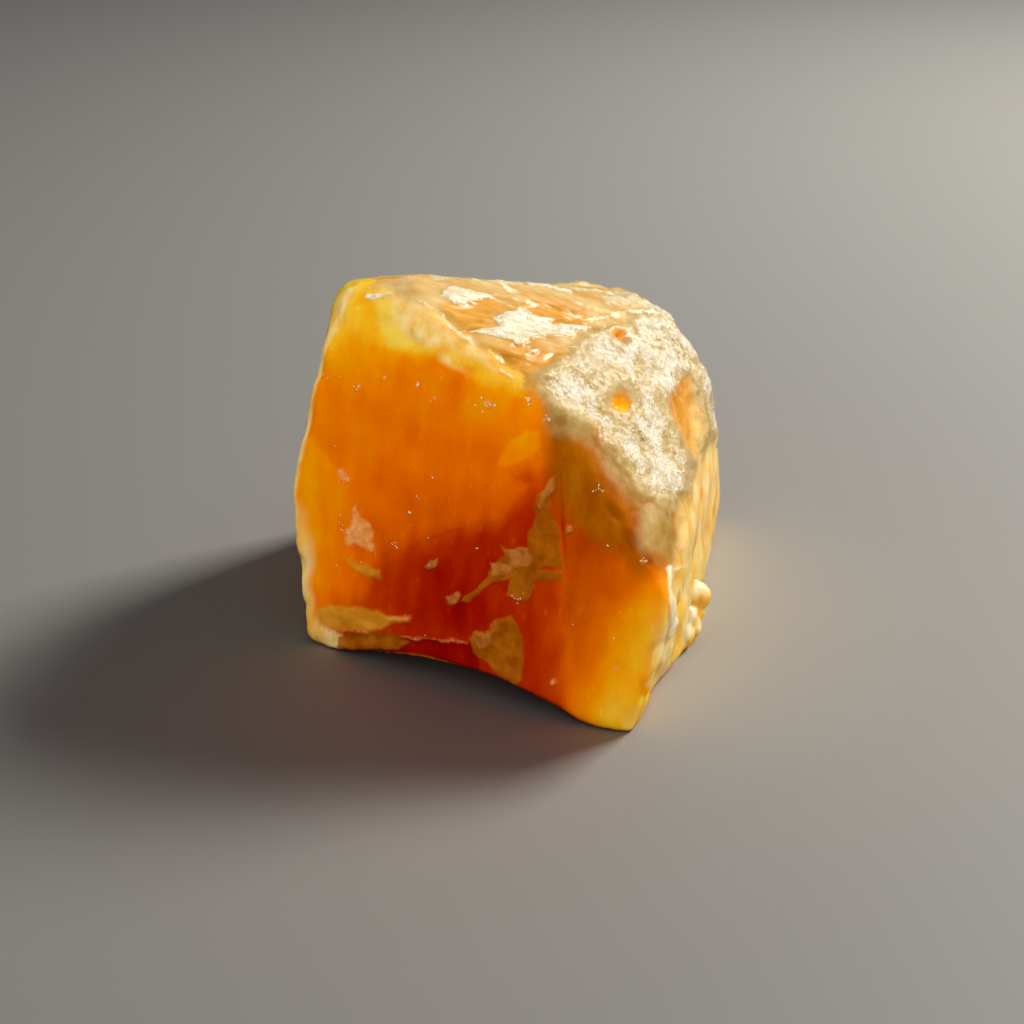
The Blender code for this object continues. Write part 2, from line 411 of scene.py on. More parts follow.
# Vein filling that stuck to the waxy front: thin ochre patches, cloudy cream where it is thick,
# and clear amber at the left.
ochre = drawn(
    chipped,
    ((-1.6, -8.6), (-0.4, -9.5), (1.3, -9.0), (2.8, -9.3), (3.3, -10.5), (3.5, -12.5), (5.2, -12.7),
     (7.8, -12.8), (7.5, -13.8), (5.7, -14.2), (3.5, -14.0), (3.5, -15.8), (2.6, -17.0), (1.1, -17.5),
     (-0.7, -16.8), (-0.4, -15.2), (-0.4, -14.0), (-2.1, -14.5), (-3.2, -14.6), (-5.1, -16.6),
     (-7.1, -17.9), (-8.1, -17.9), (-6.1, -16.1), (-3.8, -13.8), (-3.8, -13.0), (-2.6, -11.5),
     (-1.3, -10.3)),
    ((6.0, 1.9), (6.8, 1.9), (6.7, 0.0), (5.9, -0.9), (5.7, -3.0), (5.6, -4.0), (7.2, -5.8), (7.4, -12.1),
     (3.5, -12.4), (2.8, -9.5), (2.3, -8.8), (2.8, -6.4), (3.8, -4.0), (3.4, -2.1), (3.7, -0.9),
     (4.8, -0.2)),
    ((-2.6, -20.5), (0.1, -19.9), (1.1, -22.2), (1.9, -25.2), (1.4, -29.8), (0.4, -31.4), (-1.4, -30.5),
     (-4.1, -28.1), (-6.4, -26.1), (-6.9, -24.1), (-5.9, -22.5), (-4.1, -22.9)),
    ((-29.5, -24.7), (-27.2, -24.1), (-23.6, -23.7), (-19.6, -23.9), (-17.1, -25.0), (-19.0, -26.6),
     (-23.8, -28.0), (-30.0, -28.0)),
)
cream = drawn(
    chipped,
    ((-3.3, -11.7), (-0.6, -11.7), (-0.4, -9.4), (1.1, -9.0), (2.8, -9.5), (3.2, -11.1), (2.2, -12.0),
     (0.0, -12.5), (-1.1, -13.4), (-3.1, -13.7)),
    ((5.7, 1.5), (6.5, 1.5), (6.3, -0.2), (5.3, -1.6), (4.6, -3.2), (4.0, -2.6), (4.4, -0.8)),
    ((-10.6, -17.3), (-8.3, -16.3), (-8.1, -17.2), (-9.6, -18.6), (-10.4, -18.3)),
    ((-14.0, -12.4), (-13.1, -11.3), (-11.8, -10.9), (-12.0, -12.1), (-13.3, -12.7)),
    ((-6.3, -24.0), (-5.6, -22.8), (-4.1, -23.2), (-3.0, -22.4), (-3.4, -24.4), (-5.2, -25.6)),
    ((8.0, -5.6), (9.0, -5.5), (9.2, -6.6), (8.2, -6.8)),
)
pink = drawn(
    chipped,
    ((-25.6, -2.2), (-25.0, -3.6), (-24.0, -5.1), (-23.0, -6.0), (-22.7, -8.3), (-22.6, -10.5),
     (-23.8, -9.5), (-26.1, -9.0), (-27.6, -8.4), (-27.6, -7.0), (-26.3, -5.7)),
    ((-28.4, 3.4), (-27.3, 2.9), (-26.3, 1.9), (-26.5, 1.3), (-27.7, 1.8)),
)
ledge = drawn(
    chipped,
    ((-33.5, -19.7), (-30.6, -19.0), (-25.2, -19.2), (-22.1, -19.6), (-20.8, -20.4), (-16.7, -20.7),
     (-16.5, -21.3), (-19.8, -21.9), (-21.2, -23.0), (-25.4, -23.5), (-29.0, -23.5), (-32.9, -22.4)),
    ((-27.6, -10.7), (-26.3, -11.5), (-24.8, -12.2), (-23.6, -12.3), (-21.7, -13.2), (-21.5, -14.6),
     (-23.7, -14.5), (-25.5, -13.4), (-27.4, -11.7)),
)
corner = drawn(chipped, (
    (-36.3, -15.9), (-34.1, -17.1), (-33.5, -20.2), (-32.5, -22.2), (-30.0, -23.5), (-28.3, -24.1),
    (-28.8, -27.6), (-31.5, -27.2), (-34.0, -26.0), (-37.5, -22.0),
))
FOOT_LINES = (
    ((-30.4, -23.5), (-27.2, -23.4), (-23.6, -23.5)),
    ((-20.4, -21.1), (-18.4, -20.8), (-16.5, -20.8)),
    ((-18.4, -23.9), (-15.1, -24.4), (-11.7, -24.4), (-7.2, -24.7)),
)
SPOTS = (
    (15.8, -27.6, 0.3), (6.5, -30.3, 0.3), (-24.1, 16.0, 0.3), (-3.5, 12.8, 0.5), (-29.9, 17.9, 0.2),
    (-14.6, 16.1, 0.15), (5.4, 10.4, 0.3), (-20.0, 17.3, 0.1), (-12.0, 13.9, 0.1), (0.9, -17.2, 0.2),
    (19.8, -10.8, 0.2), (2.5, 13.3, 0.25),
)
hidden_patch = 2.4 * rough(11.0, 73) + 0.9 * rough(3.5, 74) - 0.9 - 6.0 * seen
cream = np.maximum(cream, hidden_patch - 1.6)
for spot in SPOTS:
    pink = np.maximum(pink, charted(round_spot(chipped, *spot)))
for path in FOOT_LINES:
    pink = np.maximum(pink, charted(0.10 - 1.1 * gap_to_path(*chipped, path)))
ledge = np.maximum(ledge, hidden_patch)
amber = np.minimum(np.max([under_skin, torn, window], axis=0), -pits)

# Thin lips where a layer of the stone ends, and ribs down the right-hand edges, both painted white as
# a highlight along the edge.
HIGHLIT_LIPS = (
    ((-23.0, 30.5), (-21.7, 29.9), (-20.5, 30.2), (-18.6, 30.5)),
    ((-17.3, 30.6), (-15.6, 29.9)),
    ((-13.9, 29.3), (-11.3, 28.1), (-9.8, 25.4), (-7.5, 23.5), (-5.3, 22.3)),
    ((-1.7, 17.8), (0.4, 16.9)),
    ((-2.4, 30.4), (-0.6, 29.2), (0.9, 28.4)),
    ((-1.9, 33.7), (0.5, 31.9), (2.4, 30.2), (3.5, 29.9)),
    ((8.6, 29.1), (9.9, 28.3), (12.0, 27.8), (15.7, 28.5), (18.3, 29.9), (21.4, 30.4), (24.3, 29.6)),
    ((21.9, 27.1), (24.2, 27.0), (26.4, 26.8)),
    ((17.9, 24.9), (20.9, 24.3), (24.3, 23.5), (26.1, 22.4)),
    ((26.1, 22.0), (28.4, 23.2), (29.8, 21.5), (30.6, 20.4)),
    ((7.2, 22.6), (9.4, 21.8), (11.4, 21.0)),
    ((27.6, -12.0), (24.9, -12.2)),
)
RIB = ((24.2, -12.6), (24.5, -15.0), (24.6, -17.3), (25.0, -20.0), (25.4, -22.8))
RIB_FROM_RIGHT = ((-27.4, 25.3), (-29.3, 24.2), (-31.3, 22.8), (-28.3, 18.2), (-23.7, 12.5))
rib_gap = gap_to_path(0.75 * across + 0.25 * chipped[0], rise, RIB)
rib_gap = np.maximum(rib_gap, 0.38 * gap_to_path(y, z, RIB_FROM_RIGHT))
rib = charted(0.9 - rib_gap)
highlit_lip = charted(-np.min([gap_to_path(*pulled, path) for path in HIGHLIT_LIPS], axis=0))

# Steps on the front: the cleavage ridge, the red hollow, the layer at the left and the dark foot.
RIDGE = ((7.6, 3.0), (7.7, -4.9), (8.1, -12.1), (7.9, -23.9), (9.0, -32.0))
red_hollow = drawn(chipped, (
    (7.3, 3.4), (3.4, 2.2), (0.7, 1.5), (2.6, 0.3), (0.7, -2.7), (-2.2, -4.9), (-6.6, -5.8), (-15.6, -8.5),
    (-21.6, -13.2), (-23.9, -17.9), (-32.3, -20.4), (-36.0, -32.0), (8.0, -42.0), (7.9, -23.9), (8.1, -12.1),
    (7.7, -4.9),
))
left_layer = drawn(chipped, (
    (-33.0, 8.1), (-30.8, 6.1), (-28.7, 3.5), (-26.9, 0.0), (-26.0, -3.6), (-25.5, -6.5), (-26.6, -10.2),
    (-24.4, -17.0), (-26.0, -21.0), (-44.0, -21.0), (-44.0, 12.0),
))
foot = drawn(chipped, (
    (-34.0, -25.2), (-30.2, -24.5), (-27.2, -24.1), (-23.6, -23.7), (-19.6, -23.9), (-16.2, -24.4),
    (-11.0, -24.5), (-6.0, -24.9), (-4.0, -36.0), (-38.0, -36.0),
))
ochre_lobe = drawn(chipped, (
    (-2.6, 3.7), (-0.8, 2.8), (1.7, 4.1), (3.0, 4.4), (4.6, 6.4), (4.2, 8.6), (2.1, 8.8), (-0.4, 7.2),
))
# Painted shade under the overhang of the crust: an olive-brown zone on the front right.
OLIVE_SHADE = (
    (4.6, 9.4), (8.0, 13.0), (14.0, 10.0), (18.5, 5.0), (21.0, 0.5), (26.5, -2.0), (28.5, -8.0),
    (25.0, -12.8), (18.8, -13.6), (16.4, -11.2), (13.0, -8.8), (9.8, -6.4), (7.4, -4.0), (5.4, 3.0),
)
# The pale right edge, where it catches the light: painted highlight.
highlit_right_edge = drawn(
    chipped,
    ((23.1, -12.8), (27.2, -12.5), (29.5, -16.0), (31.0, -21.9), (27.5, -24.5), (24.9, -24.1),
     (24.6, -20.4), (23.3, -16.8)),
    ((21.8, -23.8), (24.5, -22.4), (31.0, -23.5), (31.0, -27.8), (25.8, -32.0), (23.0, -33.5),
     (20.9, -31.5), (20.3, -29.7), (21.4, -27.5)),
)
tip_facet = drawn(chipped, (
    (17.1, -34.7), (19.0, -33.5), (20.8, -31.8), (25.0, -32.0), (24.0, -42.0), (16.0, -42.0), (16.9, -38.5),
))
upright_points = stone_points * [1.0, 1.0, 0.35]
ridge_gap = across - np.interp(-rise, [-v for _, v in RIDGE], [u for u, _ in RIDGE])
ridge_here = seen * smooth(4.0, 1.0, rise) * smooth(-24.0, -13.0, rise) \
    * on_faces("front_left", "front_right")
olive_shade = drawn((across, rise), OLIVE_SHADE) + 0.8 * noise(upright_points, 4.0, 59)

# Relief, mm outwards along the normal: the crust and the bare wax under it come first.
CRUST_THICK = 0.45
PIT_DEPTH = 1.3
UNDERCUT = 0.6  # how far the dark foot at the left stands back
STEP_FADE = 5.0  # how far from a step the stone is level again
TOP_TREAD = 0.9  # spacing of the cleavage steps on the top
crust_here = smooth(-1.2, 1.8, crust)
bare = smooth(-0.6, 0.8, np.max([shaded_wax, peach, halo], axis=0))
sugared = crust_here * (1.0 - bare)
relief = 0.40 * rough(22.0, 31) + 0.20 * rough(8.0, 32) + 0.05 * rough(2.5, 35)
relief += CRUST_THICK * crust_here
relief += sugared * (0.60 * rough(5.6, 33) + 0.30 * rough(2.6, 34) + 0.14 * ridged(stone_points, 1.3, 2, 36))
relief += 0.3 * smooth(-1.2, 1.6, shaded_wax) + 0.25 * bare * rough(4.5, 40)
for pit_across, pit_rise, radius in PITS:
    gone = np.hypot(across - pit_across, rise - pit_rise) / radius
    relief -= PIT_DEPTH * seen * (1.0 - smooth(0.1, 1.3, gone))

# Layers that lie on the stone, or are gone from it: from where to where their edge climbs, and
# their thickness.
for layer, low, high, thick in (
        (np.maximum(ochre, cream), -0.2, 0.15, 0.12), (cream, -0.2, 0.2, 0.10), (ledge, -0.3, 0.3, 0.20),
        (pink, -0.4, 0.4, 0.10), (highlit_lip, -0.35, -0.05, 0.10), (rib, -0.35, 0.25, 0.35),
        (window, -0.6, 0.6, -0.10), (torn, -0.2, 0.3, -0.2), (tip_facet, -0.2, 0.2, -0.3)):
    relief += thick * smooth(low, high, layer)
relief += 0.10 * smooth(0.0, 0.3, ochre) * rough(1.5, 37)
relief += 0.16 * smooth(-0.15, 0.2, flake) * (1.0 + 1.2 * ridged(stone_points * [0.2, 1.0, 1.0], 1.1, 2, 38))
relief += 0.10 * smooth(-1.0, 2.0, skin) * (1.0 + 0.9 * rough(1.8, 39))

# Steps of the break: the ridge, the hollow, the layer at the left and the foot it stands on.
relief += ridge_here * 0.35 * (smooth(-0.12, 0.12, ridge_gap) - 0.5) * np.exp(-np.abs(ridge_gap) / STEP_FADE)
for layer, width, step in ((red_hollow, 0.5, -0.12), (left_layer, 0.3, 0.14)):
    relief += step * smooth(-width, width, layer) * np.exp(-np.maximum(layer, 0.0) / STEP_FADE)
relief += (0.12 * np.exp(-(foot / 0.35) ** 2) - UNDERCUT * smooth(-0.3, 0.5, foot)) \
    * smooth(-7.0, -15.0, across)
layers = 0.30 * y + 0.03 * x + 1.1 * noise(stone_points * [0.25, 0.8, 1.0], 6.0, 41)
top_steps = terraces(layers, TOP_TREAD, 0.14) - layers
relief += (top_share + 0.3 * on_faces("brow")) * smooth(1.0, -0.5, crust) * 0.35 * top_steps
cleaved = 0.20 * stone_points @ outward(150.0, 35.0) + 0.30 * rough(15.0, 42)
cross_cleaved = 0.16 * stone_points @ outward(100.0, -30.0) + 0.25 * rough(11.0, 43)
back_steps = terraces(cleaved, 1.5, 0.25) - cleaved \
    + 0.8 * (terraces(cross_cleaved, 1.1, 0.25) - cross_cleaved)
steps_here = smooth(-0.4, 0.5, rough(13.0, 75))
broken = 0.45 * rough(9.0, 76) + 0.22 * ridged(stone_points * [1.0, 1.0, 0.5], 4.0, 2, 77)
relief += (back_share + 0.6 * left_share) * (0.45 * back_steps * steps_here + broken)

# The lumpy right side, with swellings low on it: across, rise, size and height.
relief += smooth(-0.5, 1.0, highlit_right_edge) * smooth(-0.3, -1.5, rib) \
    * (0.30 * rough(4.0, 50) + 0.10 * rough(1.7, 58))
ribs = ridged(stone_points * [1.0, 1.0, 0.28], 6.0, 2, 44)
lobes = rough(6.5, 45) + 0.4 * rough(3.0, 46)
relief += right_share * (1.0 - 0.7 * crust_here) * smooth(0.0, -1.5, rib) * (0.30 * ribs + 0.60 * lobes)
for at_across, at_rise, size, swell in ((22.6, -35.2, 2.6, 1.7), (26.2, -27.4, 2.8, 1.0),
                                        (27.0, -21.0, 2.4, 0.7)):
    relief += swell * right_share * smooth(-8.0, -14.0, y) * falloff(at_across, at_rise, size)

# Chips along the bare edges.
chips = smooth(1.8, 0.0, edge_gap) * smooth(-0.2, 0.7, rough(4.0, 47)) \
    * (1.0 - seen * smooth(9.0, 5.0, np.abs(ridge_gap)))
relief -= 0.8 * chips * (1.0 - sugared)
relief *= 1.0 - 0.9 * under_share
stone_points = stone_points + normals * relief[:, None]
stone_points[:, 2] = np.maximum(stone_points[:, 2], 0.0)
x, y, z = stone_points.T
normals = corner_normals(stone_points, quads)

stone_mesh = bpy.data.meshes.new("calcite_stone")
stone_mesh.vertices.add(len(stone_points))
stone_mesh.vertices.foreach_set("co", (stone_points * MM).astype(np.float32).ravel())
stone_mesh.loops.add(quads.size)
stone_mesh.loops.foreach_set("vertex_index", quads.astype(np.int32).ravel())
stone_mesh.polygons.add(len(quads))
stone_mesh.polygons.foreach_set("loop_start", np.arange(0, quads.size, 4, dtype=np.int32))
stone_mesh.update(calc_edges=True)
stone_mesh.shade_smooth()

# Painted glow and shade, 0 deep red to 1 pale yellow: light that comes through thin edges is painted
# yellow, and its loss in the thick stone is painted red; some lobes are painted shade, such as the
# one under the lower tip of the crust. Lobe: across, rise, half width, half height, depth.
GLOW_LOBES = (
    (-26.0, 30.0, 9.0, 11.0, 0.33), (-14.0, 24.0, 8.0, 5.0, 0.16), (-2.0, 13.5, 9.0, 5.0, 0.13),
    (-34.0, -8.0, 7.0, 16.0, 0.19), (-8.0, -18.0, 9.0, 7.0, -0.13), (0.0, -5.0, 9.0, 5.0, -0.05),
    (7.6, -20.0, 3.0, 20.0, 0.06), (19.5, -14.5, 4.5, 4.0, -0.11), (12.5, -14.0, 5.5, 6.0, -0.035),
)
# Painted shade: the front is darker towards the bottom.
painted_glow_and_shade = 0.62 - 0.12 * seen * smooth(8.0, -14.0, rise)
for at_across, at_rise, wide, high, depth in GLOW_LOBES:
    painted_glow_and_shade += seen * depth * np.exp(-((across - at_across) / wide) ** 2 - ((rise - at_rise) / high) ** 2)
hollow_fade = 1.8 + 0.10 * np.maximum(-across, 0.0)
hollow_edge = red_hollow + 0.7 * hollow_fade * noise(upright_points, 3.0, 67)
painted_glow_and_shade -= 0.18 * smooth(-1.0, 1.0, hollow_edge / hollow_fade)
for patch, low, high, paler in ((left_layer, -0.5, 0.5, 0.05), (ochre_lobe, -0.3, 0.5, 0.10),
                                (corner, -0.3, 0.6, 0.14), (golden, -3.6, -0.6, 0.20)):
    painted_glow_and_shade += paler * smooth(low, high, patch)
# Painted shade on the foot under the layer at the left, and a painted highlight along its upper edge.
painted_glow_and_shade -= 0.16 * smooth(-0.3, 0.3, foot) * smooth(-30.0, -12.0, across)
painted_glow_and_shade += 0.10 * np.exp(-(foot / 0.25) ** 2) * smooth(-6.0, -10.0, across)
ridge_width = 0.15 + 1.6 * smooth(-14.0, -24.0, rise)
right_of_ridge = seen * smooth(-1.0, 1.0, ridge_gap / ridge_width) * smooth(6.0, 2.0, rise)
# Painted shade: right of the ridge the face is darker, most of all high up under the crust, where the olive
# coat also paints shade; low on it, painted glow turns it yellow.
painted_glow_and_shade -= (0.08 + 0.06 * smooth(-14.0, -6.0, rise)) * right_of_ridge
yellow_foot = right_of_ridge * smooth(6.0, 22.0, across - 0.35 * (rise + 20.0)) * smooth(0.0, -18.0, rise)
painted_glow_and_shade += 0.45 * yellow_foot
olive_painted_shade = np.maximum(olive_shade, 3.0 * right_of_ridge * smooth(0.0, -4.0, rise) - 3.5 - 0.8 * yellow_foot)
# Painted shade: a dark line along the ridge.
painted_glow_and_shade -= 0.14 * ridge_here * np.exp(-(ridge_gap / 0.3) ** 2) * smooth(-14.0, -6.0, rise)
painted_glow_and_shade += 0.05 * rough(7.0, 51) + 0.045 * noise(upright_points, 2.4, 52)
# Painted light: the right side above its foot and the top are lighter.
painted_glow_and_shade += 0.16 * right_share * smooth(-24.0, -10.0, rise) + 0.10 * top_share
# Painted shade: the underside is darker, most of all at the front left.
painted_glow_and_shade -= (0.05 + 0.45 * smooth(0.0, -12.0, y) * smooth(14.0, 2.0, x)) * smooth(0.0, 0.35, under_share)
# On the hidden sides the colour clouds at random, and the thin edges are painted with glow.
painted_glow_and_shade += (1.0 - seen) * (0.04 + 0.24 * rough(18.0, 53) + 0.08 * noise(upright_points, 5.0, 78)
                        + 0.14 * smooth(5.0, 0.0, edge_gap))
painted_glow_and_shade = np.where(openings > -0.3, 0.72 + 0.1 * rough(2.0, 54) + 0.14 * smooth(-0.3, 0.3, pits), painted_glow_and_shade)
painted_glow_and_shade = np.maximum(painted_glow_and_shade, 0.95 * smooth(-0.2, 0.2, tip_facet))

# Milkiness, 0 clear to 1 cloudy: bruised edges, the left rim and the line behind it, the right
# side and its edge, the brow, the pale corner and streaks on the hidden sides. On the left rim, the
# line behind it and the right edge it is a painted highlight where the edge catches the light, and
# the right side is painted paler as it faces the light, over its own cloudy ribs.
bruised = smooth(1.0, 0.1, edge_gap) * smooth(0.0, 0.6, rough(5.5, 55)) \
    * (1.0 - seen * smooth(0.0, 4.0, across))
left_rim_highlight = smooth(-32.0, -35.5, across + 1.2 * rough(5.0, 56)) * smooth(2.0, -9.0, rise) * seen
behind_edge = -np.maximum(beyond("front_left"), beyond("brow")) + 1.2 * rough(5.0, 65)
cloudy_and_lit_right = right_share * smooth(-36.0, -20.0, rise)
milk = np.max([
    0.75 * bruised, 0.8 * left_rim_highlight, smooth(0.3, 0.55, left_share) * smooth(6.0, 2.0, behind_edge),
    cloudy_and_lit_right * (0.75 + 0.2 * ribs + 0.25 * rough(5.0, 60)), 0.8 * smooth(-0.4, 1.0, highlit_right_edge),
    0.3 * smooth(-0.2, 0.2, tip_facet), 0.9 * smooth(-1.2, 1.8, golden), 0.8 * smooth(-0.8, 0.8, corner),
    0.85 * (1.0 - seen) * smooth(-0.1, 1.1, noise(upright_points, 9.0, 57)),
], axis=0)

# What the outer coats leave bare, the ribs in the painted highlight of the lips, and frost on the back
# rim.
skin = np.min([skin, -torn, -pits], axis=0)
highlit_lip = np.maximum(highlit_lip, 0.8 * rib - 0.15)
back_rim = smooth(1.6, 0.2, np.abs(beyond("top") - beyond("back_top"))) * smooth(0.5, 0.9, top_share)
frost = np.max([np.minimum(frost, crust), 0.5 * veil, back_rim * (1.5 + 0.9 * rough(6.0, 66)) - 1.0], axis=0)


def keep_on_mesh(mesh, name, values):
    """Store one number for each point, for the material to read."""
    mesh.attributes.new(name, "FLOAT", "POINT").data.foreach_set("value", values.astype(np.float32))


def into_scene(name, data):
    """Put a mesh, lamp or camera into the scene under a name."""
    made = bpy.data.objects.new(name, data)
    bpy.context.scene.collection.objects.link(made)
    return made


for name, values in dict(painted_glow_and_shade=painted_glow_and_shade, olive_painted_shade=olive_painted_shade, milk=milk, skin=skin, amber=amber, ledge=ledge,
                         ochre=ochre, cream=cream, pink=pink, shaded_wax=shaded_wax, crust=crust, frost=frost,
                         flake=flake, highlit_lip=highlit_lip).items():
    keep_on_mesh(stone_mesh, name, values)
stone = into_scene("calcite_stone", stone_mesh)


def linear(hex_colour):
    """Linear RGBA of an sRGB hex colour."""
    parts = [int(hex_colour[i:i + 2], 16) / 255.0 for i in (1, 3, 5)]
    return [p / 12.92 if p <= 0.04045 else ((p + 0.055) / 1.055) ** 2.4 for p in parts] + [1.0]


def plug(node, inputs):
    """Set or link a node's inputs, by name or number."""
    for key, value in inputs.items():
        if isinstance(value, bpy.types.NodeSocket):
            node.id_data.links.new(value, node.inputs[key])
        else:
            node.inputs[key].default_value = value


def new_material(name):
    """A new material, its node tree and its shader."""
    made = bpy.data.materials.new(name)
    made.use_nodes = True
    return made, made.node_tree, made.node_tree.nodes["Principled BSDF"]


def add_node(tree, kind, inputs=None, out=0, **settings):
    """Add a shader node with its settings, plug in its inputs, and give the output asked for."""
    made = tree.nodes.new("ShaderNode" + kind)
    for name, value in settings.items():
        setattr(made, name, value)
    plug(made, inputs or {})
    return made.outputs[out]


# Orange calcite, as broken: a waxy, cloudy mineral that light soaks into, so shade turns to deep
# orange and red rather than grey. Its coats of crust are dry and sugary.
CALCITE_IOR = 1.55
calcite, tree, shader = new_material("orange_calcite_waxy_break")
place = add_node(tree, "TexCoord", out="Object")
upright = add_node(tree, "Mapping", {"Vector": place, "Scale": (1.0, 1.0, 0.3)})
sideways = add_node(tree, "Mapping", {"Vector": place, "Scale": (0.3, 1.0, 1.0)})

# The colours of the stone along its painted glow and shade, at equal steps from 0 to 1.
HONEY = ("#680000", "#8c0400", "#a61000", "#b82a00", "#ca4800", "#dc5e00", "#ec7200", "#f48a00", "#faa400",
         "#febc1c", "#ffd050")
STREAK_MM = 2.2  # width of the faint upright streaks in the break
FLECK_MM = 0.7  # width of the short bright flecks in it
streaks = add_node(tree, "TexNoise", {"Vector": upright, "Scale": 1.0 / (STREAK_MM * MM), "Detail": 3.0})
streaked = add_node(tree, "Math", {0: streaks, 1: 0.10, 2: -0.05}, operation="MULTIPLY_ADD")
flecks = add_node(tree, "TexNoise", {"Vector": upright, "Scale": 1.0 / (FLECK_MM * MM), "Detail": 1.0})
flecked = add_node(tree, "MapRange", {"Value": flecks, "From Min": 0.64, "From Max": 0.76, "To Max": 0.06})
textured = add_node(tree, "Math", {0: streaked, 1: flecked}, operation="ADD")
# The painted glow and shade of the stone, with faint streaks and flecks added.
glow_read = add_node(tree, "Attribute", attribute_name="painted_glow_and_shade", out="Fac")
depth = add_node(tree, "Math", {0: glow_read, 1: textured}, operation="ADD")
colour = add_node(tree, "ValToRGB", {"Fac": depth})
stops = colour.node.color_ramp.elements
stops.remove(stops[1])
stops[0].color = linear(HONEY[0])
for step, hex_colour in enumerate(HONEY[1:], 1):
    stops.new(step / (len(HONEY) - 1)).color = linear(hex_colour)

# Coats from the stone outwards: attribute, where it fades in and is full, how much it covers, how
# ragged its edge is and how large its mottling is, both mm, how the mottling runs, and its dull
# and bright colours.
COATS = (
    # The olive coat is painted shade under the crust and right of the ridge.
    ("olive_painted_shade", -2.0, 2.4, 0.93, 0.0, 4.0, upright, "#a24f00", "#b66e04"),
    ("amber", -0.3, 0.5, 0.9, 0.5, 2.0, sideways, "#c48828", "#e0aa50"),
    ("ledge", -0.3, 0.5, 0.9, 0.2, 3.0, sideways, "#c27c0a", "#dea030"),
    ("skin", -0.5, 2.6, 0.9, 0.5, 3.0, sideways, "#cca25a", "#e2c68a"),
    # On the rims and the right side, the milk coat is painted highlight and painted light.
    ("milk", 0.1, 0.9, 0.9, 0.0, 3.0, upright, "#f4be4a", "#fae4a6"),
    ("ochre", -0.20, 0.22, 0.9, 0.35, 2.4, place, "#985002", "#b86c0e"),
    # The cream patches are painted darker and warmer than cream: painted shade of the front, warmed by the
    # painted glow through the stone.
    ("cream", -0.25, 0.30, 0.9, 0.35, 1.8, place, "#a85c1e", "#c68038"),
    ("pink", -0.40, 0.50, 0.85, 0.6, 1.2, place, "#e8963a", "#f6bc7a"),
    # The wax coat is a darker beige: painted shade on the lobes below the crust.
    ("shaded_wax", -1.1, 1.5, 0.93, 0.3, 4.0, place, "#a47e34", "#c6aa70"),
    ("crust", -0.60, 1.20, 1.0, 0.8, 2.0, place, "#b29250", "#ccb680"),
    ("frost", -0.10, 0.60, 0.9, 0.8, 1.0, place, "#ccba88", "#eee2c4"),
    ("flake", -0.10, 0.14, 1.0, 0.4, 1.0, sideways, "#ccbc90", "#f6eed6"),
    # The lip coat is a painted highlight along the edges of layers and ribs.
    ("highlit_lip", -0.28, -0.05, 0.85, 0.20, 1.0, place, "#f2d69c", "#fdf4e0"),
)
RAGGED_MM = 0.7  # size of the bites in a coat's edge
bites = add_node(tree, "TexNoise", {"Vector": place, "Scale": 1.0 / (RAGGED_MM * MM), "Detail": 3.0})
centred = add_node(tree, "Math", {0: bites, 1: 0.5}, operation="SUBTRACT")
masks = {}
for name, low, high, cover, bite, mottle, runs, dull, bright in COATS:
    reading = add_node(tree, "Attribute", attribute_name=name, out="Fac")
    bitten = add_node(tree, "Math", {0: centred, 1: 2.0 * bite, 2: reading}, operation="MULTIPLY_ADD")
    mask = add_node(tree, "MapRange", {"Value": bitten, "From Min": low, "From Max": high, "To Max": cover},
                    interpolation_type="SMOOTHSTEP")
    mottling = add_node(tree, "TexNoise", {"Vector": runs, "Scale": 1.0 / (mottle * MM),
                                           "Detail": 5.0, "Roughness": 0.6})
    blotches = add_node(tree, "MapRange", {"Value": mottling, "From Min": 0.36, "From Max": 0.64})
    tint = add_node(tree, "Mix", {0: blotches, 6: linear(dull), 7: linear(bright)}, data_type="RGBA", out=2)
    colour = add_node(tree, "Mix", {0: mask, 6: colour, 7: tint}, data_type="RGBA", out=2)
    masks[name] = mask

# Drier where it is sugary, waxy elsewhere; the bump is grains of about half a millimetre on the
# crust, and the faint ripple of a cleavage break on the rest.
RIPPLE_MM = 1.6  # from one ripple to the next
GRAIN_MM = 0.9  # from one grain to the next
BUMP_MM = 0.3  # height of the grains
sugary = add_node(tree, "Math", {0: masks["crust"], 1: masks["flake"]}, operation="MAXIMUM")
dry = add_node(tree, "Math", {0: masks["shaded_wax"], 1: -0.3, 2: sugary}, operation="MULTIPLY_ADD", use_clamp=True)
gloss = add_node(tree, "MapRange", {"Value": dry, "To Min": 0.32, "To Max": 0.42})
ripple = add_node(tree, "TexNoise", {"Vector": upright, "Scale": 1.0 / (RIPPLE_MM * MM), "Detail": 3.0})
grain = add_node(tree, "TexNoise", {"Vector": place, "Scale": 1.0 / (GRAIN_MM * MM), "Detail": 2.0})
soft_ripple = add_node(tree, "Math", {0: ripple, 1: 0.35}, operation="MULTIPLY")
height = add_node(tree, "Mix", {0: dry, 2: soft_ripple, 3: grain})
bump = add_node(tree, "Bump", {"Height": height, "Strength": 0.6, "Distance": BUMP_MM * MM})
light_soaks = add_node(tree, "MapRange", {"Value": dry, "To Min": 1.0, "To Max": 0.55})
plug(shader, {"Base Color": colour, "Roughness": gloss, "IOR": CALCITE_IOR, "Normal": bump,
              "Subsurface Weight": light_soaks, "Subsurface Radius": (1.0, 0.6, 0.35),
              "Subsurface Scale": 2.2 * MM})
stone.data.materials.append(calcite)

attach(stone, "root")
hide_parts("calcite")

# ------------------------------------------------------------
# Knobs: a cluster of round lumps that grew out of the foot of the right side. They are the same
# calcite, clear yellow with cloudy cream on top, the cream painted light from above, round lumps
# fused into one mesh.
# ------------------------------------------------------------

